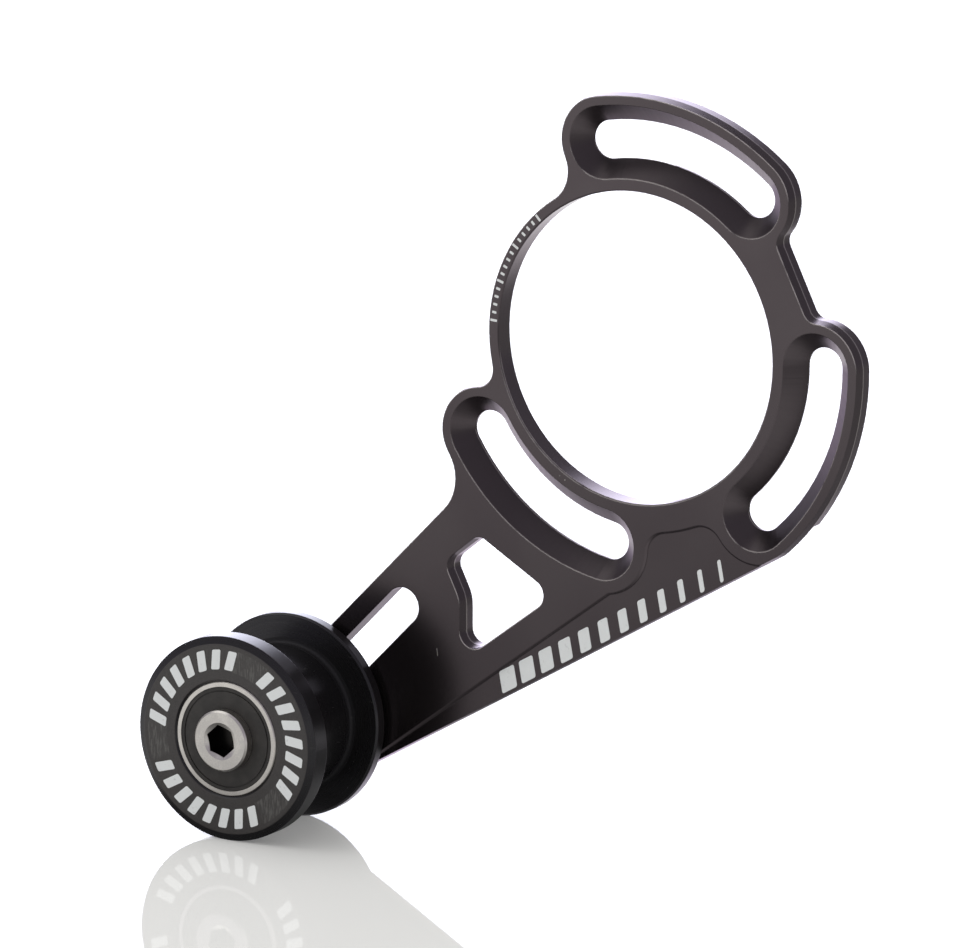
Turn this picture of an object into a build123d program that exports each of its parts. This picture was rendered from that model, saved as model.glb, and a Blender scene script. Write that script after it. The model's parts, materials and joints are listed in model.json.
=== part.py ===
from build123d import *
import os
from math import acos, cos, degrees, radians, sin, tan

# Bicycle chain guide: a flat plate that bolts behind the chainring and carries a grooved roller.
# Millimetres. The origin is on the bottom bracket axis, on the plate's rear (frame side) face.
# +X is forward, +Z is up, -Y is the drive side, where the roller stands.

# Plate
plate_thickness = 3.1
edge_bevel_width = 0.25
edge_bevel_depth = 1.5
bore_radius = 21.35
bore_chamfer = 0.15
ring_width = 1.7

# Slots for the three frame tabs, on their bolt circle; angles are the centres of the slots' ends
slot_circle_radius = 28.0
slot_front_half_width = 5.0
slot_throat_half_width = 2.6
slot_land = 0.4
lobe_rim = 1.5
top_slot_ends = (51.3, 100.6)
front_slot_ends = (-47.6, 0.4)
lower_slot_ends = (211.0, 259.8)

# Rounds between the lobes, the ring, the bridge and the arm
top_neck_fillet = 4.5
lower_neck_fillet = 2.5
bridge_fillet = 1.8
arm_root_fillet = 6.0

# Bridge between the top and front lobes
bridge_distance = 27.07
bridge_angle = 26.1

# Arm, its adjusting slot and its tip
roller_reach = 78.06
roller_direction = 226.95
arm_angle = 45.5
arm_lower_edge_angle = 30.0
arm_upper_margin = 5.6
arm_tip_margin = 7.0
arm_tip_fillet = 5.0
adjust_travel = 23.7
adjust_slot_play = 0.1

# Rear face: a shallow relief at the end of the top lobe and a step along the arm's lower edge
top_relief_depth = 0.35
top_relief_start = 82.5
top_relief_slant = 26.5
lower_step_width = 1.75
lower_step_depth = 1.5

# Window in the arm, corner by corner with its fillet
window_corners = (
    ((-24.43, -28.94), 1.5),
    ((-12.9, -35.7), 1.9),
    ((-27.3, -46.5), 2.0),
    ((-27.3, -38.05), 5.0),
    ((-29.72, -33.17), 1.85),
)

# Shallow pocket along the arm's lower edge, with a sloping rim
pocket_depth = 0.4
pocket_rim_chamfer = 0.3
pocket_edge_angle = 36.5
pocket_edge_distance = 25.4
pocket_slot_margin = 2.0
pocket_bore_margin = 4.05
pocket_fillet = 3.0

# Roller
roller_radius = 14.25
roller_core_radius = 10.2
roller_plate_gap = 0.74
front_flange_width = 3.05
rear_flange_width = 1.95
groove_width = 12.6
groove_wall_draft = 0.5
groove_root_fillet = 0.5
rim_bevel_width = 1.1
rim_bevel_depth = 0.5
rim_back_chamfer = 0.25
seat_mouth_chamfer = 0.3
seat_shoulder = 1.1

# Ball bearings, two alike
bearing_bore_radius = 2.5
bearing_outer_radius = 8.0
bearing_width = 5.0
bearing_recess = 0.1
ball_radius = 1.19
ball_count = 7
race_groove_depth = 0.4
inner_land_width = 1.2
race_rim_width = 0.7
seal_depth = 0.6
seal_thickness = 0.5
seal_groove_inset = 0.5
seal_groove_width = 0.2
seal_groove_depth = 0.15
race_edge_chamfer = 0.15
cage_half_width = 0.6
cage_open_side = 0.9
cage_back_gap = 0.15

# Bolt, nut and spacers
bolt_head_overhang = 1.75
bolt_head_height = 1.5
bolt_head_chamfer = 0.25
socket_flats = 4.0
socket_depth = 2.6
socket_turn = 12
socket_mouth_chamfer = 0.3
socket_mouth_slope = 25
bolt_tail = 1.0
bolt_end_chamfer = 0.5
spacer_inset = 0.1
collar_wall = 2.5
collar_nose_height = 0.3
washer_wall = 2.5
washer_thickness = 1.0
nut_wall = 1.5
nut_hex_height = 3.2
nut_height = 5.0
nut_crown_wall = 0.6
nut_crown_lip = 0.4
nut_face_inset = 0.15
insert_wall = 0.6
insert_recess = 0.15

# Clearances
bolt_clearance = 0.03
seat_clearance = 0.01
ball_clearance = 0.05
pocket_clearance = 0.08
lip_clearance = 0.05
cut_over = 1.0


def polar(radius, angle):
    return (radius * cos(radians(angle)), radius * sin(radians(angle)))


def shifted(point, distance, angle):
    dx, dz = polar(distance, angle)
    return (point[0] + dx, point[1] + dz)


def along_normal(point, angle):
    return point[0] * cos(radians(angle)) + point[1] * sin(radians(angle))


def meet(point_a, angle_a, point_b, angle_b):
    # where the line through point_a at angle_a crosses the line through point_b at angle_b
    run = sin(radians(angle_b - angle_a))
    dx, dz = point_b[0] - point_a[0], point_b[1] - point_a[1]
    distance = (dx * sin(radians(angle_b)) - dz * cos(radians(angle_b))) / run
    return shifted(point_a, distance, angle_a)


def rounded(sketch, point, radius):
    corner = sketch.vertices().sort_by_distance((point[0], point[1], 0))[0]
    return fillet(corner, radius)


def flat(sketch, front, depth):
    # a sketch in X and Z, from y = front towards the rear by depth
    return extrude(Plane.XZ.offset(-front - depth) * sketch, depth)


def turned(profile, arc=360):
    # a profile of (radius, y) points turned about the Y axis
    return revolve(make_face(Polyline(*profile, close=True)), Axis.Y, arc)


def ring(inner, outer, y_start, y_end):
    return turned([(inner, y_start), (outer, y_start), (outer, y_end), (inner, y_end)])


# Derived places on the plate
plate_front = -plate_thickness
ring_radius = bore_radius + ring_width
lobe_half_width = slot_front_half_width + lobe_rim
slots = (top_slot_ends, front_slot_ends, lower_slot_ends)
roller_axis = polar(roller_reach, roller_direction)
at_roller = Pos(roller_axis[0], 0, roller_axis[1])
lower_normal = arm_lower_edge_angle - 90
upper_normal = arm_angle + 90
front_lobe_end = polar(slot_circle_radius, front_slot_ends[0])
lower_edge_start = shifted(front_lobe_end, lobe_half_width, lower_normal)
upper_edge_rise = along_normal(roller_axis, upper_normal) + arm_upper_margin
upper_edge_start = polar(upper_edge_rise, upper_normal)
bolt_radius = bearing_bore_radius


def crossing(radius, end_angle, end_radius, side):
    # where a circle about the bore meets a round of end_radius about the end of a slot
    far = slot_circle_radius
    spread = acos((radius ** 2 + far ** 2 - end_radius ** 2) / (2 * radius * far))
    return polar(radius, end_angle + side * degrees(spread))


def arc_band(ends, half_width):
    return SlotArc(CenterArc((0, 0), slot_circle_radius, ends[0], ends[1] - ends[0]), 2 * half_width)


def lobe(ends):
    # round-ended band about a slot, on a sector that reaches in to the ring
    rim = CenterArc((0, 0), slot_circle_radius, ends[0], ends[1] - ends[0])
    sector = make_face(Curve() + [rim, Line(rim @ 1, (0, 0)), Line((0, 0), rim @ 0)])
    return arc_band(ends, lobe_half_width) + sector


def bridge():
    lobe_ends = [polar(slot_circle_radius, top_slot_ends[0]), polar(slot_circle_radius, front_slot_ends[1])]
    edge = [shifted(p, bridge_distance - along_normal(p, bridge_angle), bridge_angle) for p in lobe_ends]
    return make_face(Polyline((0, 0), lobe_ends[0], edge[0], edge[1], lobe_ends[1], close=True))


def arm():
    end_point = shifted(roller_axis, arm_tip_margin, arm_angle + 180)
    low = meet(lower_edge_start, arm_lower_edge_angle, end_point, upper_normal)
    high = meet(upper_edge_start, arm_angle, end_point, upper_normal)
    outline = ((0, 0), front_lobe_end, lower_edge_start, low, high, upper_edge_start)
    blank = make_face(Polyline(*outline, close=True))
    for corner in (low, high):
        blank = rounded(blank, corner, arm_tip_fillet)
    return blank


def web(corners, hollow, radius):
    # fills an inner corner from the bore outwards, hollowed by a round that is tangent to both its edges
    return make_face(Polyline((0, 0), *corners, close=True)) - Pos(*hollow) * Circle(radius)


def neck(end_angle, side, radius):
    # between the ring and the round end of a lobe
    hollow = crossing(ring_radius + radius, end_angle, lobe_half_width + radius, side)
    return web((polar(slot_circle_radius, end_angle), hollow), hollow, radius)


def bridge_neck(end_angle, towards):
    # between the straight edge of the bridge and the round end of a lobe
    centre = polar(slot_circle_radius, end_angle)
    rise = bridge_distance + bridge_fillet - along_normal(centre, bridge_angle)
    run = ((lobe_half_width + bridge_fillet) ** 2 - rise ** 2) ** 0.5
    hollow = shifted(shifted(centre, rise, bridge_angle), run, bridge_angle + towards)
    return web((shifted(hollow, bridge_fillet, bridge_angle + 180), hollow, centre), hollow, bridge_fillet)


def arm_root():
    # between the outer arc of the lower lobe and the arm's upper edge
    rise = upper_edge_rise + arm_root_fillet
    reach = slot_circle_radius + lobe_half_width + arm_root_fillet
    hollow = shifted(polar(rise, upper_normal), (reach ** 2 - rise ** 2) ** 0.5, arm_angle + 180)
    return web((shifted(hollow, arm_root_fillet, upper_normal + 180), hollow), hollow, arm_root_fillet)


def plate_outline():
    necks = [
        neck(top_slot_ends[1], 1, top_neck_fillet),
        neck(lower_slot_ends[0], -1, lower_neck_fillet),
        bridge_neck(top_slot_ends[0], -90),
        bridge_neck(front_slot_ends[1], 90),
        arm_root(),
    ]
    return Circle(ring_radius) + [lobe(ends) for ends in slots] + bridge() + arm() + necks


def window():
    shape = make_face(Polyline(*[point for point, radius in window_corners], close=True))
    for point, radius in window_corners:
        shape = rounded(shape, point, radius)
    return shape


def pocket():
    # a wedge along the arm's lower edge, widening to a pad between two slots
    margin = slot_front_half_width + pocket_slot_margin
    lower_end = polar(slot_circle_radius, lower_slot_ends[1])
    edge_point = polar(pocket_edge_distance, pocket_edge_angle - 90)
    below = shifted(lower_edge_start, cut_over, lower_normal)
    tip = meet(edge_point, pocket_edge_angle, below, arm_lower_edge_angle)
    wedge = make_face(Polyline(tip, edge_point, below, close=True))
    beyond = shifted(lower_end, 2 * margin, lower_normal)
    pad = make_face(Polyline((0, 0), below, beyond, lower_end, close=True))
    top_radius = bore_radius + pocket_bore_margin
    shape = wedge + pad - Circle(top_radius)
    for centre in (lower_end, front_lobe_end):
        shape -= Pos(*centre) * Circle(margin)
    shape = rounded(shape, crossing(top_radius, lower_slot_ends[1], margin, 1), pocket_fillet)
    return rounded(shape, crossing(top_radius, front_slot_ends[0], margin, -1), pocket_fillet)


def sunk(plate, cutter):
    # cuts a shallow pocket and slopes its rim where it meets the front face
    plate -= cutter
    walls = [face for face in cutter.faces() if abs(face.normal_at().Y) < 0.5]
    front_edges = plate.faces().sort_by(Axis.Y)[0].edges()
    rim = [edge for edge in front_edges if min(wall.distance_to(edge @ 0.5) for wall in walls) < 0.001]
    return chamfer(rim, pocket_rim_chamfer)


def conical_slot(ends):
    # countersunk arc slot: sloping walls from the front face down to a short straight land
    slope = (slot_front_half_width - slot_throat_half_width) / (plate_thickness - slot_land)
    mouth, throat = slot_front_half_width + slope * cut_over, slot_throat_half_width
    half = [(mouth, plate_front - cut_over), (throat, -slot_land), (throat, cut_over)]
    outer = [(slot_circle_radius + w, y) for w, y in half]
    inner = [(slot_circle_radius - w, y) for w, y in reversed(half)]
    cutter = Rot(0, -ends[1], 0) * turned(outer + inner, ends[1] - ends[0])
    end_cone = turned([(0, half[0][1])] + half + [(0, cut_over)])
    for angle in ends:
        x, z = polar(slot_circle_radius, angle)
        cutter += Pos(x, 0, z) * end_cone
    return cutter


def top_relief():
    # the rear of the top lobe from a slanted edge to the lobe's round end
    reach = lobe_half_width + cut_over
    edge = Rot(0, 0, top_relief_start) * Pos(slot_circle_radius, 0) * Rot(0, 0, top_relief_slant)
    before = edge * Pos(0, -reach) * Rectangle(4 * reach, 2 * reach)
    sketch = arc_band((top_relief_start, top_slot_ends[1]), reach) - before
    return flat(sketch, -top_relief_depth, top_relief_depth + cut_over)


def lower_step():
    # a straight strip off the rear, along the arm's lower edge and the end of the front lobe
    inner = shifted(lower_edge_start, -lower_step_width, lower_normal)
    strip = Rectangle(3 * roller_reach, lower_step_width + cut_over, align=(Align.CENTER, Align.MAX))
    sketch = Pos(*inner) * Rot(0, 0, arm_lower_edge_angle) * strip
    return flat(sketch, -lower_step_depth, lower_step_depth + cut_over)


def backplate():
    blank = flat(plate_outline() - window(), plate_front, plate_thickness)
    front_face = blank.faces().sort_by(Axis.Y)[0]
    plate = chamfer(front_face.edges(), edge_bevel_width, edge_bevel_depth, reference=front_face)
    plate = sunk(plate, flat(pocket(), plate_front - cut_over, pocket_depth + cut_over))
    mouth = bore_radius + bore_chamfer
    plate -= turned([
        (0, plate_front), (mouth, plate_front), (bore_radius, plate_front + bore_chamfer),
        (bore_radius, -bore_chamfer), (mouth, 0), (0, 0),
    ])
    for ends in slots:
        plate -= conical_slot(ends)
    slot_middle = shifted(roller_axis, adjust_travel / 2, arm_angle)
    slot_width = 2 * (bolt_radius + adjust_slot_play)
    slot = Pos(*slot_middle) * Rot(0, 0, arm_angle) * SlotCenterToCenter(adjust_travel, slot_width)
    plate -= flat(slot, plate_front - cut_over, plate_thickness + 2 * cut_over)
    return plate - top_relief() - lower_step()


# Derived places along the roller's axis
roller_rear = plate_front - roller_plate_gap
rear_flange_front = roller_rear - rear_flange_width
front_flange_back = rear_flange_front - groove_width
roller_front = front_flange_back - front_flange_width - rim_bevel_depth
front_bearing_middle = roller_front + bearing_recess + bearing_width / 2
rear_bearing_middle = roller_rear - bearing_recess - bearing_width / 2
bolt_seat = front_bearing_middle - bearing_width / 2
stack_rear = rear_bearing_middle + bearing_width / 2
nut_seat = washer_thickness


def roller():
    seat_radius = bearing_outer_radius + seat_clearance
    shoulder_radius = bearing_outer_radius - seat_shoulder
    mouth = seat_radius + seat_mouth_chamfer
    front_seat_floor = front_bearing_middle + bearing_width / 2
    rear_seat_floor = rear_bearing_middle - bearing_width / 2
    profile = make_face(Polyline(
        (mouth, roller_front),
        (roller_radius - rim_bevel_width, roller_front),
        (roller_radius, roller_front + rim_bevel_depth),
        (roller_radius, front_flange_back - rim_back_chamfer),
        (roller_radius - rim_back_chamfer, front_flange_back),
        (roller_core_radius, front_flange_back + groove_wall_draft),
        (roller_core_radius, rear_flange_front - groove_wall_draft),
        (roller_radius - rim_back_chamfer, rear_flange_front),
        (roller_radius, rear_flange_front + rim_back_chamfer),
        (roller_radius, roller_rear - rim_back_chamfer),
        (roller_radius - rim_back_chamfer, roller_rear),
        (mouth, roller_rear),
        (seat_radius, roller_rear - seat_mouth_chamfer),
        (seat_radius, rear_seat_floor),
        (shoulder_radius, rear_seat_floor),
        (shoulder_radius, front_seat_floor),
        (seat_radius, front_seat_floor),
        (seat_radius, roller_front + seat_mouth_chamfer),
        close=True,
    ))
    for root in (front_flange_back + groove_wall_draft, rear_flange_front - groove_wall_draft):
        profile = rounded(profile, (roller_core_radius, root), groove_root_fillet)
    return revolve(profile, Axis.Y)


# Bearing parts, about the middle of the bearing
pitch_radius = (bearing_bore_radius + bearing_outer_radius) / 2
inner_land_radius = bearing_bore_radius + inner_land_width
seal_rim_radius = bearing_outer_radius - race_rim_width
seal_groove_radius = seal_rim_radius - seal_groove_inset
groove_radius = ball_radius + ball_clearance
shoulder_rise = groove_radius - race_groove_depth
half_width = bearing_width / 2
land_start = half_width - seal_depth
ball_angles = [i * 360 / ball_count for i in range(ball_count)]


def race_groove():
    return revolve(Pos(pitch_radius, 0) * Circle(groove_radius), Axis.Y)


def outer_race():
    rim, edge = bearing_outer_radius, bearing_outer_radius - race_edge_chamfer
    half = [
        (seal_rim_radius, half_width), (edge, half_width), (rim, half_width - race_edge_chamfer),
        (rim, race_edge_chamfer - half_width), (edge, -half_width), (seal_rim_radius, -half_width),
        (seal_rim_radius, -land_start), (pitch_radius + shoulder_rise, -land_start),
        (pitch_radius + shoulder_rise, land_start), (seal_rim_radius, land_start),
    ]
    return turned(half) - race_groove()


def inner_race():
    half = [
        (bearing_bore_radius, -half_width), (inner_land_radius, -half_width),
        (inner_land_radius, -land_start), (pitch_radius - shoulder_rise, -land_start),
        (pitch_radius - shoulder_rise, land_start),
        (inner_land_radius, land_start), (inner_land_radius, half_width), (bearing_bore_radius, half_width),
    ]
    return turned(half) - race_groove()


def balls():
    at_pitch = Pos(pitch_radius, 0, 0)
    return Compound(children=[Rot(0, a, 0) * at_pitch * Sphere(ball_radius) for a in ball_angles])


def cage():
    # snap-in crown: a ring behind the balls with round pockets open to one side
    inner, outer = pitch_radius - cage_half_width, pitch_radius + cage_half_width
    crown = ring(inner, outer, -cage_open_side, land_start - cage_back_gap)
    for angle in ball_angles:
        crown -= Rot(0, angle, 0) * Pos(pitch_radius, 0, 0) * Sphere(ball_radius + pocket_clearance)
    return crown


def seal():
    # the disc on the bearing's positive side, with a fine groove near its rim on the face that shows
    outer_face = land_start + seal_thickness
    disc = ring(inner_land_radius + lip_clearance, seal_rim_radius - seat_clearance, land_start, outer_face)
    groove = ring(
        seal_groove_radius - seal_groove_width, seal_groove_radius, outer_face - seal_groove_depth, half_width
    )
    return disc - groove


# Bolt, nut and spacers, all sized from the bolt
bolt_head_radius = bolt_radius + bolt_head_overhang
spacer_radius = inner_land_radius - spacer_inset
collar_radius = bolt_radius + collar_wall
washer_radius = bolt_radius + washer_wall
insert_radius = bolt_radius + insert_wall
nut_crown_radius = insert_radius + nut_crown_wall
nut_apothem = bolt_radius + nut_wall
nut_face_radius = nut_apothem - nut_face_inset


def bolt():
    head_face = bolt_seat - bolt_head_height
    tip = nut_seat + nut_height + bolt_tail
    body = turned([
        (0, head_face), (bolt_head_radius - bolt_head_chamfer, head_face),
        (bolt_head_radius, head_face + bolt_head_chamfer), (bolt_head_radius, bolt_seat),
        (bolt_radius - bolt_clearance, bolt_seat), (bolt_radius - bolt_clearance, tip - bolt_end_chamfer),
        (bolt_radius - bolt_end_chamfer, tip), (0, tip),
    ])
    socket = RegularPolygon(socket_flats / 2, 6, major_radius=False)
    mouth_radius = socket_flats / 2 / cos(radians(30)) + socket_mouth_chamfer
    mouth_depth = mouth_radius * tan(radians(socket_mouth_slope))
    mouth = turned([(0, head_face), (mouth_radius, head_face), (0, head_face + mouth_depth)])
    return body - flat(Rot(0, 0, 90 + socket_turn) * socket, head_face, socket_depth) - mouth


def lock_nut():
    hex_blank = flat(RegularPolygon(nut_apothem, 6, major_radius=False), nut_seat, nut_height)
    corner_radius = nut_apothem / cos(radians(30))
    chamfer_rise = (corner_radius - nut_face_radius) / 2
    crown_start, crown_end = nut_seat + nut_hex_height, nut_seat + nut_height
    envelope = turned([
        (bolt_radius, nut_seat), (nut_face_radius, nut_seat), (corner_radius, nut_seat + chamfer_rise),
        (corner_radius, crown_start - chamfer_rise), (nut_face_radius, crown_start),
        (nut_crown_radius, crown_start), (nut_crown_radius, crown_end - nut_crown_lip),
        (nut_crown_radius - nut_crown_lip, crown_end), (insert_radius, crown_end),
        (insert_radius, crown_start), (bolt_radius, crown_start),
    ])
    return hex_blank & envelope


def nut_insert():
    start, end = nut_seat + nut_hex_height, nut_seat + nut_height - insert_recess
    return ring(bolt_radius, insert_radius - seat_clearance, start, end)


def rear_collar():
    nose_end = stack_rear + collar_nose_height
    return turned([
        (bolt_radius, stack_rear), (spacer_radius, stack_rear), (spacer_radius, nose_end),
        (collar_radius, nose_end), (collar_radius, plate_front), (bolt_radius, plate_front),
    ])


nodes = {
    "backplate": backplate(),
    "roller": at_roller * roller(),
    "bearing_sleeve": at_roller * ring(
        bolt_radius, spacer_radius, front_bearing_middle + half_width, rear_bearing_middle - half_width
    ),
    "rear_collar": at_roller * rear_collar(),
    "roller_bolt": at_roller * bolt(),
    "rear_washer": at_roller * ring(bolt_radius, washer_radius, 0, washer_thickness),
    "lock_nut": at_roller * lock_nut(),
    "nut_insert": at_roller * nut_insert(),
}
# The rear bearing is the front one turned round, so each shows its outboard seal
for side, middle, facing in (("front", front_bearing_middle, 180), ("rear", rear_bearing_middle, 0)):
    at_bearing = at_roller * Pos(0, middle, 0) * Rot(facing, 0, 0)
    nodes[side + "_outer_race"] = at_bearing * outer_race()
    nodes[side + "_inner_race"] = at_bearing * inner_race()
    nodes[side + "_balls"] = at_bearing * balls()
    nodes[side + "_cage"] = at_bearing * cage()
    nodes[side + "_outboard_seal"] = at_bearing * seal()
    nodes[side + "_inboard_seal"] = at_bearing * Rot(180, 0, 0) * seal()

os.makedirs("parts", exist_ok=True)
for name, shape in nodes.items():
    export_step(shape, f"parts/{name}.step")
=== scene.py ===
import json
import math

import bmesh
import bpy
from mathutils import Matrix, Vector


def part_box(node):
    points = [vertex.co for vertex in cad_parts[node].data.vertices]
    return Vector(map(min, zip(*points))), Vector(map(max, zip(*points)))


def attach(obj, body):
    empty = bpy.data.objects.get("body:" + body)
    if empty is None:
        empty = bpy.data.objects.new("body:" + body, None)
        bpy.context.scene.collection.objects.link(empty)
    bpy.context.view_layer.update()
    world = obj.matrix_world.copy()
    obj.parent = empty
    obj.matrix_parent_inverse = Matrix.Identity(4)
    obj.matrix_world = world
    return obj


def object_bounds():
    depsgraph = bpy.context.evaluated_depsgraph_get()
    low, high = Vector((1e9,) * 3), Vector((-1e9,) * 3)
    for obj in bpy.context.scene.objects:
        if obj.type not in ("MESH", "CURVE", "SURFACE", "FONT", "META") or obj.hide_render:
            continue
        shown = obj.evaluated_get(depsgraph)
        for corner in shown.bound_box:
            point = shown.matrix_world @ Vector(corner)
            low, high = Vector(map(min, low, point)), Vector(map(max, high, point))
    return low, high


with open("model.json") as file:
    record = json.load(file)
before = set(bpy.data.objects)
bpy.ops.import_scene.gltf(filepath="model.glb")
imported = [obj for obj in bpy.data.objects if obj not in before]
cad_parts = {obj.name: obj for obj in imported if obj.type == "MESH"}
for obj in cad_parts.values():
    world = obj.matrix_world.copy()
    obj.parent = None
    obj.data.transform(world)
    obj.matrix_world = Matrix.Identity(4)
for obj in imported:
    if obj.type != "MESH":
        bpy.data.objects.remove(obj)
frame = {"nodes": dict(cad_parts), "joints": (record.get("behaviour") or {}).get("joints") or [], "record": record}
cadBox = [list(corner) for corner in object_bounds()]
nodes = frame["nodes"]
mm = 0.001
axle = Vector(next(j["pos_m"] for j in frame["joints"] if j["name"] == "roller_spin")) / mm
print("frame loaded,", len(nodes), "nodes")


class Wire:
    # a socket in a node tree; arithmetic on it adds Math nodes
    def __init__(self, tree, socket=None):
        self.tree, self.socket = tree, socket

    def node(self, kind, settings=None, sockets=None, out=0):
        made = self.tree.nodes.new("ShaderNode" + kind)
        for name, value in (settings or {}).items():
            setattr(made, name, value)
        for name, value in (sockets or {}).items():
            if isinstance(value, Wire):
                self.tree.links.new(value.socket, made.inputs[name])
            else:
                made.inputs[name].default_value = value
        return Wire(self.tree, made.outputs[out])

    def __getitem__(self, name):  # another output of the same node
        return Wire(self.tree, self.socket.node.outputs[name])

    def maths(self, operation, *others):
        return self.node("Math", {"operation": operation}, dict(enumerate((self,) + others)))

    def __add__(self, other):
        return self.maths("ADD", other)

    def __sub__(self, other):
        return self.maths("SUBTRACT", other)

    def __rsub__(self, other):
        return self.node("Math", {"operation": "SUBTRACT"}, {0: other, 1: self})

    def __mul__(self, other):
        return self.maths("MULTIPLY", other)

    def __truediv__(self, other):
        return self.maths("DIVIDE", other)

    def __lt__(self, other):
        return self.maths("LESS_THAN", other)

    def __gt__(self, other):
        return self.maths("GREATER_THAN", other)

    __radd__, __rmul__ = __add__, __mul__

    def step(self, low, high):  # 0 at low, 1 at high, smooth between
        return self.node(
            "MapRange", {"interpolation_type": "SMOOTHSTEP"},
            {"Value": self, "From Min": low, "From Max": high},
        )

    def window(self, edges):  # 0, up to 1 between the first two edges, down to 0 between the last two
        return self.step(edges[0], edges[1]) * (1 - self.step(edges[2], edges[3]))

    def blend(self, first, second):  # colours, by this factor
        return self.node("Mix", {"data_type": "RGBA"}, {0: self, 6: first, 7: second}, 2)


def total(wires):
    return sum(wires[1:], wires[0])


def largest(wires):
    most = wires[0]
    for wire in wires[1:]:
        most = most.maths("MAXIMUM", wire)
    return most


def colour(*rgb):
    return (*rgb, 1.0)


def grey(level):
    return colour(level, level, level)


def startFinish(name, constants):
    material = bpy.data.materials.new(name)
    material.use_nodes = True
    shader = material.node_tree.nodes["Principled BSDF"]
    for socket, value in constants.items():
        shader.inputs[socket].default_value = value
    return material, Wire(material.node_tree)


def plug(material, wires):
    shader = material.node_tree.nodes["Principled BSDF"]
    for socket, wire in wires.items():
        material.node_tree.links.new(wire.socket, shader.inputs[socket])


def millimetres(start, centre=(0, 0, 0)):  # object coordinates in mm, from a centre
    place = start.node("TexCoord", out="Object")
    return start.node("Mapping", sockets={
        "Vector": place, "Scale": (1 / mm,) * 3, "Location": tuple(-c for c in centre)
    })


def apart(vector):
    split = vector.node("SeparateXYZ", sockets={"Vector": vector})
    return split["X"], split["Y"], split["Z"]


def fromAxle(start):  # a place in mm from the roller's axle, its parts with the frame's own y, its radius
    place = millimetres(start, axle)
    x, y, z = apart(place)
    return place, (x, y + axle.y, z), (x * x + z * z).maths("SQRT")


# in the finishes, a noise is given by its scale per mm and its detail
def noise(place, scale, detail):
    return place.node("TexNoise", sockets={"Vector": place, "Scale": scale, "Detail": detail})


def squeezed(place, scale, turn=0.0):  # stretches a pattern into streaks
    return place.node("Mapping", sockets={
        "Vector": place, "Scale": scale, "Rotation": (0, math.radians(turn), 0)
    })


def ringNoise(radius, scale, detail):  # turning marks round an axis
    return radius.node(
        "TexNoise", {"noise_dimensions": "1D"}, {"W": radius, "Scale": scale, "Detail": detail}
    )


softEdge = {"samples": 8, "turned": (0.006, 0.05)}


def roundedNormal(start, width):  # turns smoothly over sharp edges
    return start.node("Bevel", {"samples": softEdge["samples"]}, {"Radius": width * mm})


def edgeMask(rounded):  # where the rounded normal leaves the true one
    plain = rounded.node("NewGeometry", out="Normal")
    match = rounded.node("VectorMath", {"operation": "DOT_PRODUCT"}, {0: rounded, 1: plain}, "Value")
    return (1 - match).step(*softEdge["turned"])


def bumped(height, relief, normal=None):
    sockets = {"Strength": relief["strength"], "Distance": relief["depth"] * mm, "Height": height}
    if normal is not None:
        sockets["Normal"] = normal
    return height.node("Bump", sockets=sockets)


# black anodised plate
plate = {
    "black": colour(0.082, 0.0685, 0.0730),
    "greyer": colour(0.092, 0.0780, 0.0820),
    "cloud": (0.05, 4.0),
    "cloudRange": (0.35, 0.65),
    "grain": (9.0, 2.0),
    # pale colour of the edge lines: edge wear, and painted highlights along edges
    "edge": colour(0.80, 0.745, 0.71),
    "edgeRadius": 0.14,
    "worn": {  # pale line on edges that look up: partly wear, partly a painted highlight from the light above
        "radius": 0.26, "upward": (0.02, 0.25), "noise": (0.4, 3.0), "range": (0.22, 0.50), "share": 0.85,
    },
    "foot": {  # painted highlight: a pale line at the bevel's foot, on walls that look right
        "depth": -1.6, "reach": (0.12, 0.30), "lean": (0.015, 0.05, 0.11, 0.15), "right": (0.2, 0.5),
        "share": 0.45,
    },
    "slot": {  # sloping walls with tool marks
        "radius": 28.0, "ends": ((51.3, 100.6), (-47.6, 0.4), (211.0, 259.8)),
        "mouth": 4.94, "depths": (-3.05, -0.5), "squeeze": (2.2, 7.0, 7.0), "noise": (1.0, 4.0),
    },
    "speck": colour(0.62, 0.60, 0.56),
    "specks": (((-10.8, -19.4), 0.09), ((-11.6, -18.9), 0.07)),
    "speckCore": 0.6,
    "hair": {
        "place": (-31.1, -45.9), "turn": 97.0,
        "half": 0.62, "halfCore": 0.434, "width": 0.055, "core": 0.0275,
    },
    "frontFrom": -3.0,
    "roughness": 0.21,
    "rougher": {"cloud": 0.05, "grain": 0.04, "streak": 0.08, "walls": 0.06, "dust": 0.4, "worn": 0.25},
    "relief": {"grain": 0.4, "streak": 3.0, "strength": 0.25, "depth": 0.02},
    "shader": {"Metallic": 0.93, "Specular Tint": colour(1.0, 0.96, 1.0)},
}


def slotField(x, z, ends):
    # distance from a slot's middle line, and a point that counts along the slot and round its wall
    radius = plate["slot"]["radius"]
    middle, half = math.radians(sum(ends) / 2), math.radians(ends[1] - ends[0]) / 2
    along = x * math.cos(middle) + z * math.sin(middle)
    across = z * math.cos(middle) - x * math.sin(middle)
    turn = across.maths("ARCTAN2", along).maths("MINIMUM", half).maths("MAXIMUM", -half)
    dx = along - turn.maths("COSINE") * radius
    dz = across - turn.maths("SINE") * radius
    distance = (dx * dx + dz * dz).maths("SQRT")
    point = x.node("CombineXYZ", sockets={"X": turn * radius, "Y": dx / distance, "Z": dz / distance})
    return distance, point


def slotWalls(x, y, z):  # a mask of the slots' sloping walls, and the tool marks on them
    slot = plate["slot"]
    walls, marks = [], []
    for ends in slot["ends"]:
        distance, point = slotField(x, z, ends)
        inside = (distance < slot["mouth"]) * (y > slot["depths"][0]) * (y < slot["depths"][1])
        walls.append(inside)
        marks.append(noise(squeezed(point, slot["squeeze"]), *slot["noise"]) * inside)
    return total(walls), total(marks)


# pale lines on the plate's edges: wear kept to edges that look up, so partly a painted highlight, and a painted
# highlight at the bevel's foot
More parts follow.
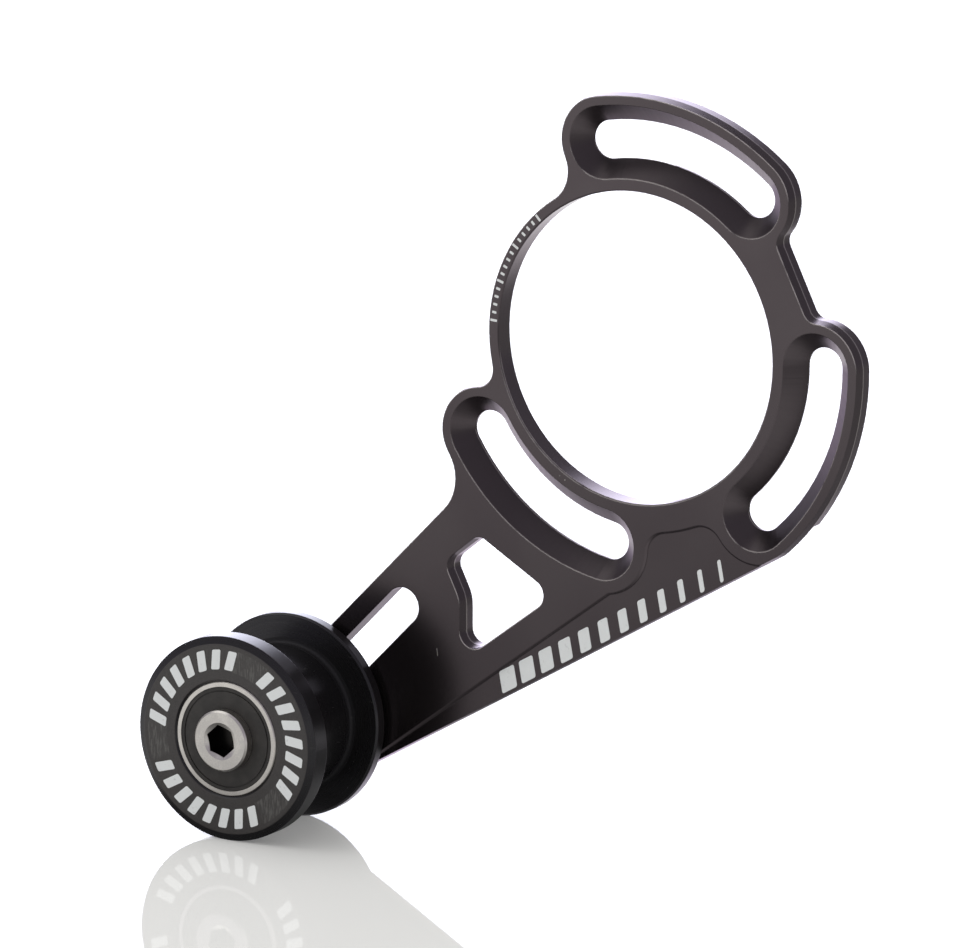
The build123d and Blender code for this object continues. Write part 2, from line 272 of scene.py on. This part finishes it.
def edgeWearAndHighlights(place, y):
    worn, foot = plate["worn"], plate["foot"]
    wide = roundedNormal(place, worn["radius"])
    right, back, up = apart(wide)
    patches = noise(place, *worn["noise"]).step(*worn["range"])
    wearAndHighlightLine = edgeMask(wide) * up.step(*worn["upward"]) * patches
    footHighlight = (0 - back).window(foot["lean"]) * right.step(*foot["right"])
    footHighlight = footHighlight * (1 - (y - foot["depth"]).maths("ABSOLUTE").step(*foot["reach"]))
    return wearAndHighlightLine, footHighlight


def speckMark(x, z, place, radius):  # a small round mark on the front face
    dx, dz = x - place[0], z - place[1]
    return 1 - (dx * dx + dz * dz).maths("SQRT").step(radius * plate["speckCore"], radius)


def hairMark(x, z, hair):
    turn = math.radians(hair["turn"])
    dx, dz = x - hair["place"][0], z - hair["place"][1]
    along = (dx * math.cos(turn) + dz * math.sin(turn)).maths("ABSOLUTE")
    across = (dz * math.cos(turn) - dx * math.sin(turn)).maths("ABSOLUTE")
    return (1 - along.step(hair["halfCore"], hair["half"])) * (1 - across.step(hair["core"], hair["width"]))


def makePlateFinish():
    material, start = startFinish("plateAnodised", plate["shader"])
    place = millimetres(start)
    x, y, z = apart(place)
    cloud = noise(place, *plate["cloud"])
    grain = noise(place, *plate["grain"])
    wearAndHighlightLine, footHighlight = edgeWearAndHighlights(place, y)
    walls, streak = slotWalls(x, y, z)
    dust = [hairMark(x, z, plate["hair"])]
    dust += [speckMark(x, z, middle, radius) for middle, radius in plate["specks"]]
    dust = largest(dust) * (y < plate["frontFrom"])
    # pale edge lines lighten the colour: partly wear, partly painted highlight
    pale = largest([wearAndHighlightLine * plate["worn"]["share"], footHighlight * plate["foot"]["share"]])
    shade = cloud.step(*plate["cloudRange"]).blend(plate["black"], plate["greyer"])
    shade = pale.blend(shade, plate["edge"])
    shade = dust.blend(shade, plate["speck"])
    more = plate["rougher"]
    rough = plate["roughness"] + (cloud - 0.5) * more["cloud"] + (grain - 0.5) * more["grain"]
    rough = rough + streak * more["streak"] + walls * more["walls"]
    rough = rough + dust * more["dust"] + wearAndHighlightLine * more["worn"]
    relief = plate["relief"]
    height = grain * relief["grain"] + streak * relief["streak"]
    bump = bumped(height, relief, roundedNormal(start, plate["edgeRadius"]))
    plug(material, {"Base Color": shade, "Roughness": rough, "Normal": bump})
    return material


# turned black polymer roller
roller = {
    "black": colour(0.046, 0.0420, 0.0385),
    "greyer": colour(0.057, 0.0525, 0.0485),
    "barrel": colour(0.0065, 0.0060, 0.0064),
    "scuff": colour(0.115, 0.112, 0.104),
    "edge": colour(0.060, 0.057, 0.058),
    "turned": (2.6, 3.0),
    "grain": (6.0, 3.0),
    "grainRange": (0.3, 0.7),
    "faceDepth": 0.05,
    "band": {  # printed band of the face, scuffed most where it is bare
        "radii": (9.45, 9.65, 12.55, 12.75), "bare": (70.0, 187.0, 313.0), "bareHalf": 15.0, "bareCore": 9.0,
        "scratchedBare": 0.8, "scratched": 0.12, "plainBare": 0.12,
    },
    "scratch": {"squeeze": (3.4, 1.0, 0.5), "turn": 24.0, "noise": (1.6, 5.0), "range": (0.44, 0.70)},
    "knock": {"squeeze": (0.7, 0.7, 5.0), "turn": -20.0, "noise": (0.9, 4.0), "range": (0.66, 0.76)},
    "knockShare": 0.12,
    "rim": {"radius": 14.1, "rearFrom": -6.1, "tilt": 0.06},  # the rear rim leans back a little
    "rimEdge": {"radius": 12.8, "noise": (0.5, 3.0), "range": (0.35, 0.65), "share": 0.35},
    "root": {"radius": 10.95, "rearFrom": -7.2},
    "edgeRadius": 0.16,
    "roughness": 0.52,
    "rougher": {"barrel": -0.24, "turned": 0.10, "scuff": 0.2, "knocks": 0.1, "root": 0.4},
    "relief": {"turned": 0.6, "grain": 0.25, "scratch": 0.8, "strength": 0.35, "depth": 0.03},
    "shader": {
        "IOR": 1.5, "Specular Tint": colour(0.96, 0.94, 1.0), "Coat Weight": 0.15, "Coat Roughness": 0.25,
    },
}


def streaks(place, look):
    return noise(squeezed(place, look["squeeze"], look["turn"]), *look["noise"]).step(*look["range"])


def bandScuff(radius, angle, scratch):
    band = roller["band"]
    half, core = (math.cos(math.radians(band[name])) for name in ("bareHalf", "bareCore"))
    bare = largest([
        (angle - math.radians(centre)).maths("COSINE").step(half, core) for centre in band["bare"]
    ])
    scuff = scratch * bare * band["scratchedBare"] + scratch * band["scratched"] + bare * band["plainBare"]
    return radius.window(band["radii"]) * scuff


def leanBack(normal, rearRim):  # the rear rim's normal, tilted away from the front
    lean = normal.node("CombineXYZ", sockets={"Y": rearRim * roller["rim"]["tilt"]})
    lean = normal.node("VectorMath", {"operation": "ADD"}, {0: normal, 1: lean})
    return normal.node("VectorMath", {"operation": "NORMALIZE"}, {0: lean})


def makeRollerFinish():
    material, start = startFinish("rollerPolymer", roller["shader"])
    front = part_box("roller")[0].y / mm
    place, (x, y, z), radius = fromAxle(start)
    face = y < front + roller["faceDepth"]
    barrel = 1 - face
    turned = ringNoise(radius, *roller["turned"])
    grain = noise(place, *roller["grain"])
    scratch = streaks(place, roller["scratch"])
    scuff = face * bandScuff(radius, z.maths("ARCTAN2", x), scratch)
    knocks = streaks(place, roller["knock"]) * barrel
    rim, rimEdge, root = roller["rim"], roller["rimEdge"], roller["root"]
    rounded = roundedNormal(start, roller["edgeRadius"])
    edge = edgeMask(rounded) * noise(place, *rimEdge["noise"]).step(*rimEdge["range"])
    edge = edge * (radius > rimEdge["radius"])
    rearRim = (radius > rim["radius"]) * (y > rim["rearFrom"])
    rearRoot = (radius < root["radius"]) * (y > root["rearFrom"])
    shade = grain.step(*roller["grainRange"]).blend(roller["black"], roller["greyer"])
    shade = barrel.blend(shade, roller["barrel"])
    shade = scuff.blend(shade, roller["scuff"])
    shade = (knocks * roller["knockShare"]).blend(shade, roller["scuff"])
    shade = (edge * rimEdge["share"]).blend(shade, roller["edge"])
    more = roller["rougher"]
    rough = roller["roughness"] + barrel * more["barrel"] + (turned - 0.5) * more["turned"]
    rough = rough + scuff * more["scuff"] + knocks * more["knocks"] + rearRoot * more["root"]
    relief = roller["relief"]
    height = turned * relief["turned"] + grain * relief["grain"] + scratch * scuff * relief["scratch"]
    bump = bumped(height, relief, leanBack(rounded, rearRim))
    plug(material, {"Base Color": shade, "Roughness": rough, "Normal": bump})
    return material


# metals of the bolt, nut and bearings
metals = {
    "boltSteel": {
        "light": colour(0.86, 0.825, 0.77), "dark": colour(0.72, 0.69, 0.65),
        "roughness": 0.30, "rings": 0.02,
        # the socket's dark colour is painted shade inside the hexagon
        "socket": {"radius": 2.40, "depths": (0.35, 3.0), "dark": colour(0.030, 0.028, 0.026)},
        "thread": {"radius": 2.6, "start": 3.0, "pitch": 0.8, "height": 6.0},
    },
    "raceSteel": {
        "light": colour(0.90, 0.86, 0.80), "dark": colour(0.77, 0.735, 0.685),
        "roughness": 0.33, "rings": 0.10,
    },
    "zincSteel": {
        "light": colour(0.58, 0.59, 0.60), "dark": colour(0.42, 0.43, 0.45),
        "roughness": 0.26, "rings": 0.05,
    },
    "spacerAluminium": {
        "light": colour(0.66, 0.65, 0.64), "dark": colour(0.54, 0.53, 0.53),
        "roughness": 0.28, "rings": 0.12,
    },
    "ballSteel": {
        "light": colour(0.78, 0.78, 0.79), "dark": colour(0.70, 0.70, 0.72),
        "roughness": 0.07, "rings": 0.0,
    },
}
metalGrain = {
    "grain": (5.0, 4.0), "rings": (5.0, 3.0), "stain": (0.45, 4.0), "stainRange": (0.35, 0.7),
    "grainShare": 0.7, "stainShare": 0.3, "range": (0.3, 0.7), "rougher": 0.16,
    "relief": {"grain": 0.4, "rings": 4.0, "strength": 0.22, "depth": 0.02},
}


def socketShade(y, radius, socket):  # painted shade: the inside of the bolt's hexagon is coloured near-black
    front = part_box("roller_bolt")[0].y / mm
    start, end = (front + depth for depth in socket["depths"])
    return (radius < socket["radius"]) * (y > start) * (y < end)


def threadRidge(x, y, z, radius, thread):  # a helix round the bolt's end
    turn = z.maths("ARCTAN2", x) / (2 * math.pi)
    ridge = (y / thread["pitch"] + turn).maths("PINGPONG", 0.5)
    return ridge * thread["height"] * (radius < thread["radius"]) * (y > thread["start"])


def makeMetal(name):
    look = metals[name]
    material, start = startFinish(name, {"Metallic": 1.0})
    place, (x, y, z), radius = fromAxle(start)
    grain = noise(place, *metalGrain["grain"])
    rings = ringNoise(radius, *metalGrain["rings"])
    stain = noise(place, *metalGrain["stain"]).step(*metalGrain["stainRange"])
    mottle = grain * metalGrain["grainShare"] + stain * metalGrain["stainShare"]
    shade = mottle.step(*metalGrain["range"]).blend(look["dark"], look["light"])
    rough = look["roughness"] + (grain - 0.5) * (metalGrain["rougher"] * look["roughness"])
    rough = rough + (rings - 0.5) * look["rings"]
    relief = metalGrain["relief"]
    height = grain * relief["grain"] + rings * (relief["rings"] * look["rings"])
    # the hexagon socket gets painted shade
    if "socket" in look:
        shade = socketShade(y, radius, look["socket"]).blend(shade, look["socket"]["dark"])
    if "thread" in look:
        height = height + threadRidge(x, y, z, radius, look["thread"])
    plug(material, {"Base Color": shade, "Roughness": rough, "Normal": bumped(height, relief)})
    return material


# moulded rubber and nylon
mouldings = {
    "sealRubber": {
        "light": colour(0.045, 0.0410, 0.0375), "dark": colour(0.031, 0.0285, 0.0260), "roughness": 0.55,
    },
    "insertNylon": {
        "light": colour(0.74, 0.74, 0.70), "dark": colour(0.64, 0.64, 0.59), "roughness": 0.42,
    },
    "cageNylon": {
        "light": colour(0.70, 0.66, 0.55), "dark": colour(0.60, 0.55, 0.44), "roughness": 0.40,
    },
}
mouldGrain = {
    "cloud": (0.6, 4.0), "cloudRange": (0.3, 0.7), "grain": (11.0, 2.0), "rings": (3.0, 2.0),
    "rougher": {"grain": 0.12, "cloud": 0.10},
    "relief": {"grain": 0.5, "rings": 0.5, "strength": 0.3, "depth": 0.02},
}


def makeMoulding(name):
    look = mouldings[name]
    material, start = startFinish(name, {"IOR": 1.5})
    place, _, radius = fromAxle(start)
    cloud = noise(place, *mouldGrain["cloud"])
    grain = noise(place, *mouldGrain["grain"])
    rings = ringNoise(radius, *mouldGrain["rings"])
    shade = cloud.step(*mouldGrain["cloudRange"]).blend(look["dark"], look["light"])
    more, relief = mouldGrain["rougher"], mouldGrain["relief"]
    rough = look["roughness"] + (grain - 0.5) * more["grain"] + (cloud - 0.5) * more["cloud"]
    bump = bumped(grain * relief["grain"] + rings * relief["rings"], relief)
    plug(material, {"Base Color": shade, "Roughness": rough, "Normal": bump})
    return material


# white ink
ink = {
    "white": colour(0.80, 0.82, 0.82), "worn": colour(0.50, 0.51, 0.51),
    "wear": (1.7, 5.0), "wearRange": (0.62, 0.78), "wearShare": 0.5,
    "speck": (14.0, 3.0), "speckShare": 0.2,
    "roughness": 0.5, "rougher": 0.2, "relief": {"strength": 0.2, "depth": 0.01},
    "thickness": 0.02, "sink": 0.01,
}


def makeInk():
    material, start = startFinish("whiteInk", {"IOR": 1.45})
    place = millimetres(start)
    wear = noise(place, *ink["wear"]).step(*ink["wearRange"])
    speck = noise(place, *ink["speck"])
    shade = (wear * ink["wearShare"] + (speck - 0.5) * ink["speckShare"]).blend(ink["white"], ink["worn"])
    rough = ink["roughness"] + (speck - 0.5) * ink["rougher"]
    plug(material, {"Base Color": shade, "Roughness": rough, "Normal": bumped(speck, ink["relief"])})
    return material


finishes = {
    "plate_anodised": makePlateFinish(),
    "roller_polymer": makeRollerFinish(),
    "bolt_steel": makeMetal("boltSteel"),
    "race_steel": makeMetal("raceSteel"),
    "zinc_steel": makeMetal("zincSteel"),
    "spacer_aluminium": makeMetal("spacerAluminium"),
    "ball_steel": makeMetal("ballSteel"),
    "seal_rubber": makeMoulding("sealRubber"),
    "insert_nylon": makeMoulding("insertNylon"),
    "cage_nylon": makeMoulding("cageNylon"),
}
for part in frame["record"]["subparts"]:
    for materialSlot in nodes[part["node"]].material_slots:
        materialSlot.material = finishes[part["material_slot"]]


inkFinish = makeInk()


def addBar(corners, cornerRound):
    # one printed bar: a rounded outline in X and Z, sunk a little, with its thickness towards -Y
    mesh = bmesh.new()
    made = [mesh.verts.new((x, ink["sink"], z)) for x, z in corners]
    mesh.faces.new(made)
    bmesh.ops.bevel(
        mesh, geom=made, offset=cornerRound, offset_type="OFFSET", segments=3, profile=0.5,
        affect="VERTICES", material=-1,
    )
    grown = bmesh.ops.extrude_face_region(mesh, geom=mesh.faces[:], use_keep_orig=True)
    moved = [v for v in grown["geom"] if isinstance(v, bmesh.types.BMVert)]
    bmesh.ops.translate(mesh, vec=(0, -ink["thickness"] - ink["sink"], 0), verts=moved)
    return mesh


def barCorners(width, height, lean):
    return [
        (-width / 2 - lean, -height / 2), (width / 2 - lean, -height / 2),
        (width / 2 + lean, height / 2), (-width / 2 + lean, height / 2),
    ]


def makeMarking(name, body, bars, cornerRound):
    # bars: outline corners and the matrix that puts them on the part, both in mm
    whole = bpy.data.meshes.new(name)
    joined = bmesh.new()
    for corners, matrix in bars:
        single = addBar(corners, cornerRound)
        bmesh.ops.transform(single, matrix=matrix, verts=single.verts)
        bmesh.ops.recalc_face_normals(single, faces=single.faces)
        piece = bpy.data.meshes.new("bar")
        single.to_mesh(piece)
        joined.from_mesh(piece)
        bpy.data.meshes.remove(piece)
        single.free()
    bmesh.ops.scale(joined, vec=(mm,) * 3, verts=joined.verts)
    joined.to_mesh(whole)
    joined.free()
    whole.materials.append(inkFinish)
    made = bpy.data.objects.new(name, whole)
    bpy.context.scene.collection.objects.link(made)
    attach(made, body)


def tilt(angle):  # turns a drawing in X and Z, anticlockwise as seen from the front
    return Matrix.Rotation(math.radians(-angle), 4, "Y")


def onCircle(centre, angle, radius):  # upright on a circle, as numbers stand on a dial
    return Matrix.Translation(centre) @ tilt(angle - 90) @ Matrix.Translation((0, 0, radius))


# three groups of bars round the roller's face
rollerMarking = {
    "groups": (11.5, 128.5, 250.0), "bars": 8, "pitch": 12.3, "radius": 11.1,
    "height": 2.75, "width": 1.35, "lean": 0.28, "cornerRound": 0.22,
}
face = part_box("roller")[0].y / mm
for index, centre in enumerate(rollerMarking["groups"], 1):
    shape = barCorners(rollerMarking["width"], rollerMarking["height"], rollerMarking["lean"])
    bars = []
    for step in range(rollerMarking["bars"]):
        angle = centre + (step - (rollerMarking["bars"] - 1) / 2) * rollerMarking["pitch"]
        bars.append((shape, onCircle((axle.x, face, axle.z), angle, rollerMarking["radius"])))
    makeMarking(f"roller_marking_{index}", "roller", bars, rollerMarking["cornerRound"])

# bars that thin out along the arm's pocket
armMarking = {
    "start": (-20.0, -48.3), "angle": 30.0, "bars": 12, "length": 42.0, "height": 2.9,
    "widths": (2.7, 0.6), "lean": 0.5, "floor": -2.7, "cornerRound": 0.3,
}
first, last = armMarking["widths"]
start = Matrix.Translation((armMarking["start"][0], armMarking["floor"], armMarking["start"][1]))
bars = []
for step in range(armMarking["bars"]):
    width = first + (last - first) * step / (armMarking["bars"] - 1)
    along = step * armMarking["length"] / armMarking["bars"]
    place = start @ tilt(armMarking["angle"]) @ Matrix.Translation((along, 0, 0))
    bars.append((barCorners(width, armMarking["height"], armMarking["lean"]), place))
makeMarking("arm_marking", "backplate", bars, armMarking["cornerRound"])

# setting scale on the ring
ringMarking = {
    "angles": (133.0, 176.5), "ticks": 16, "radius": 22.1, "face": -3.1, "width": 0.34,
    "height": 1.05, "shortHeight": 0.651, "longEvery": 5, "cornerRound": 0.08,
}
low, high = ringMarking["angles"]
bars = []
for step in range(ringMarking["ticks"]):
    angle = low + (high - low) * step / (ringMarking["ticks"] - 1)
    height = ringMarking["shortHeight" if step % ringMarking["longEvery"] else "height"]
    place = onCircle((0, ringMarking["face"], 0), angle, ringMarking["radius"])
    bars.append((barCorners(ringMarking["width"], height, 0.0), place))
makeMarking("ring_marking", "backplate", bars, ringMarking["cornerRound"])
print("markings made")

# camera at the photograph's angle
photoView = {
    "target": (-26.34, 2.876, -21.61), "azimuth": 31.714, "elevation": 12.943, "distance": 1496.2,
    "lens": 404.46, "sensor": 36.0, "clip": (0.01, 20.0),
}


def makeCamera():
    azimuth, elevation = math.radians(photoView["azimuth"]), math.radians(photoView["elevation"])
    back = Vector((
        math.sin(azimuth) * math.cos(elevation), -math.cos(azimuth) * math.cos(elevation), math.sin(elevation)
    ))
    camera = bpy.data.objects.new("camera", bpy.data.cameras.new("camera"))
    camera.data.lens, camera.data.sensor_width = photoView["lens"], photoView["sensor"]
    camera.data.clip_start, camera.data.clip_end = photoView["clip"]
    camera.location = (Vector(photoView["target"]) + back * photoView["distance"]) * mm
    camera.rotation_euler = (-back).to_track_quat("-Z", "Y").to_euler()
    bpy.context.scene.collection.objects.link(camera)
    bpy.context.scene.camera = camera


makeCamera()
bpy.context.scene.view_settings.view_transform = "Standard"
print("camera set")

# studio: white to the camera, a softbox above on the left, a bright panel behind, dim elsewhere
studio = {
    "turn": 31.7,
    "level": 0.75,
    "dim": colour(0.34, 0.325, 0.37),
    "panel": {"shade": colour(3.7, 3.75, 4.4), "azimuth": (-30, -18, 6, 30), "elevation": (-4, 2, 30, 46)},
    "softbox": {"place": (-0.62, -0.13, 0.90), "size": 0.95, "radiance": 1.3},
    "softboxSeen": {"shade": grey(1.0), "azimuth": (-150, -100, -52, -38), "elevation": (32, 42, 62, 76)},
}


def studioAxes(x, y):  # towards the panel, and to its right
    turn = math.radians(studio["turn"])
    return y * math.cos(turn) - x * math.sin(turn), x * math.cos(turn) + y * math.sin(turn)


def clearRays(start):  # rays that see plain white, and rays from shiny surfaces
    rays = start.node("LightPath", out="Is Camera Ray")
    return rays.maths("MAXIMUM", rays["Is Transmission Ray"]), rays["Is Glossy Ray"]


# pale floor, with what shiny surfaces see in it, a glow of painted light: brighter zones, painted shadows near the
# roller and a painted lavender tint behind; each zone's brightness, and its edges in metres
floorLook = {
    "size": 4.0, "white": colour(0.84, 0.835, 0.812), "lift": 0.20, "gloss": 1.42, "glossRoughness": 0.03,
    "fade": (0.30, 1.20),
    "levels": {
        "right": 0.42, "frontRight": 0.85, "behind": 1.45, "farLeft": 0.75, "front": 0.62, "farFront": 1.12,
    },
    "behind": {"depth": (0.01, 0.10), "slant": 0.6, "across": (-0.02, 0.06)},
    "near": {"side": (-0.045, -0.030), "depth": (-0.008, 0.010, 0.012, 0.036)},
    "farLeft": (0.13, 0.20),
    "front": {"depth": (0.0, 0.02), "across": (-0.10, 0.10), "far": (0.06, 0.35)},
    "frontDim": {"share": 0.15, "slant": 0.5, "side": (-0.045, 0.01)},
    "frontRight": (0.0, 0.04, 0.10, 0.30),
    "shadows": (
        {"side": (-0.045, -0.030, 0.040, 0.070), "depth": (-0.015, 0.0, 0.02, 0.08), "left": 0.35},
        {"side": (-0.085, -0.070, -0.035, -0.020), "depth": (-0.060, -0.035, -0.010, -0.002), "left": 0.55},
        {"side": (-0.078, -0.066, -0.047, -0.037), "depth": (-0.050, -0.032, -0.012, -0.004), "left": 0.30},
    ),
    "tint": {"depth": (0.06, 0.12), "green": 0.12, "blue": 0.08},
}


# what shiny surfaces see in the floor: a glow with painted pools of light and painted shadows
def mirroredFloor(side, depth):
    level = floorLook["levels"]
    away, across = studioAxes(side, depth)
    ahead = 0 - depth
    near, behind = floorLook["near"], floorLook["behind"]
    nearZone = depth.window(near["depth"]) * (1 - side.step(*near["side"]))
    behindZone = largest([depth.step(*behind["depth"]), nearZone])
    behindZone = behindZone * (1 - (across - away * behind["slant"]).step(*behind["across"]))
    farLeft = (0 - side).step(*floorLook["farLeft"])
    behindLevel = level["behind"] + farLeft * (level["farLeft"] - level["behind"])
    front, dim = floorLook["front"], floorLook["frontDim"]
    inFront = ahead.step(*front["depth"])
    frontZone = inFront * (1 - across.step(*front["across"]))
    frontLevel = ahead.step(*front["far"]) * (level["farFront"] - level["front"]) + level["front"]
    frontLevel = frontLevel * (1 - (side - depth * dim["slant"]).step(*dim["side"]) * dim["share"])
    frontRight = inFront * side.window(floorLook["frontRight"])
    glow = level["right"] + behindZone * (behindLevel - level["right"])
    glow = glow + frontZone * (frontLevel - level["right"])
    glow = glow + frontRight * (level["frontRight"] - glow)
    for shadow in floorLook["shadows"]:
        glow = glow * (1 - side.window(shadow["side"]) * depth.window(shadow["depth"]) * (1 - shadow["left"]))
    # painted lavender tint on the glow behind the object
    tint = floorLook["tint"]
    tinted = behindZone * largest([1 - depth.step(*tint["depth"]), farLeft])
    green = glow * (1 - tinted * tint["green"])
    blue = glow * (1 + tinted * tint["blue"])
    shade = side.node("CombineColor", sockets={"Red": glow, "Green": green, "Blue": blue})
    return side.node("Emission", sockets={"Color": shade})


def makeFloorFinish():
    material = bpy.data.materials.new("floorWhite")
    material.use_nodes = True
    tree = material.node_tree
    tree.nodes.remove(tree.nodes["Principled BSDF"])
    start = Wire(tree)
    clear, glossy = clearRays(start)
    side, depth, _ = apart(start.node("TexCoord", out="Object"))
    lifted = clear * floorLook["lift"]
    lift = start.node("Emission", sockets={
        "Color": start.node("CombineColor", sockets={"Red": lifted, "Green": lifted, "Blue": lifted})
    })
    matte = start.node("BsdfDiffuse", sockets={"Color": floorLook["white"]})
    pale = start.node("AddShader", sockets={0: matte, 1: lift})
    gloss = start.node("BsdfAnisotropic", sockets={"Roughness": floorLook["glossRoughness"]})
    share = start.node("Fresnel", sockets={"IOR": floorLook["gloss"]})
    top = start.node("MixShader", sockets={0: share, 1: pale, 2: gloss})
    top = start.node("MixShader", sockets={0: glossy, 1: top, 2: mirroredFloor(side, depth)})
    far = (side * side + depth * depth).maths("SQRT").step(*floorLook["fade"]) * clear
    white = start.node("Emission", sockets={"Color": grey(1.0)})
    top = start.node("MixShader", sockets={0: far, 1: top, 2: white})
    below = start.node("NewGeometry", out="Backfacing")
    whole = start.node("MixShader", sockets={0: below, 1: top, 2: start.node("BsdfTransparent")})
    tree.links.new(whole.socket, tree.nodes["Material Output"].inputs["Surface"])
    return material


def makeFloor():
    mesh = bmesh.new()
    bmesh.ops.create_grid(mesh, x_segments=1, y_segments=1, size=floorLook["size"] / 2)
    bmesh.ops.translate(mesh, vec=(0, 0, cadBox[0][2]), verts=mesh.verts)
    data = bpy.data.meshes.new("floor")
    mesh.to_mesh(data)
    mesh.free()
    data.materials.append(makeFloorFinish())
    floor = bpy.data.objects.new("floor", data)
    bpy.context.scene.collection.objects.link(floor)


def makeWorld():
    world = bpy.data.worlds.new("studio")
    bpy.context.scene.world = world
    world.use_nodes = True
    tree = world.node_tree
    start = Wire(tree)
    x, y, up = apart(start.node("TexCoord", out="Generated"))
    away, across = studioAxes(x, y)
    azimuth = across.maths("ARCTAN2", away) * math.degrees(1)
    elevation = up.maths("ARCSINE") * math.degrees(1)
    mirrored = studio["dim"]
    for seen in (studio["softboxSeen"], studio["panel"]):
        lit = azimuth.window(seen["azimuth"]) * elevation.window(seen["elevation"])
        mirrored = lit.blend(mirrored, seen["shade"])
    clear, glossy = clearRays(start)
    shade = glossy.blend(grey(studio["level"]), mirrored)
    shade = clear.blend(shade, grey(1.0))
    tree.links.new(shade.socket, tree.nodes["Background"].inputs["Color"])


def makeSoftbox():
    box = studio["softbox"]
    lamp = bpy.data.lights.new("softbox", "AREA")
    lamp.shape, lamp.size = "SQUARE", box["size"]
    lamp.energy = box["radiance"] * math.pi * box["size"] ** 2
    made = bpy.data.objects.new("softbox", lamp)
    made.location = box["place"]
    aim = Vector(photoView["target"]) * mm - made.location
    made.rotation_euler = aim.to_track_quat("-Z", "Y").to_euler()
    made.visible_camera = made.visible_glossy = False
    bpy.context.scene.collection.objects.link(made)


makeFloor()
makeWorld()
makeSoftbox()
print("floor and studio made")
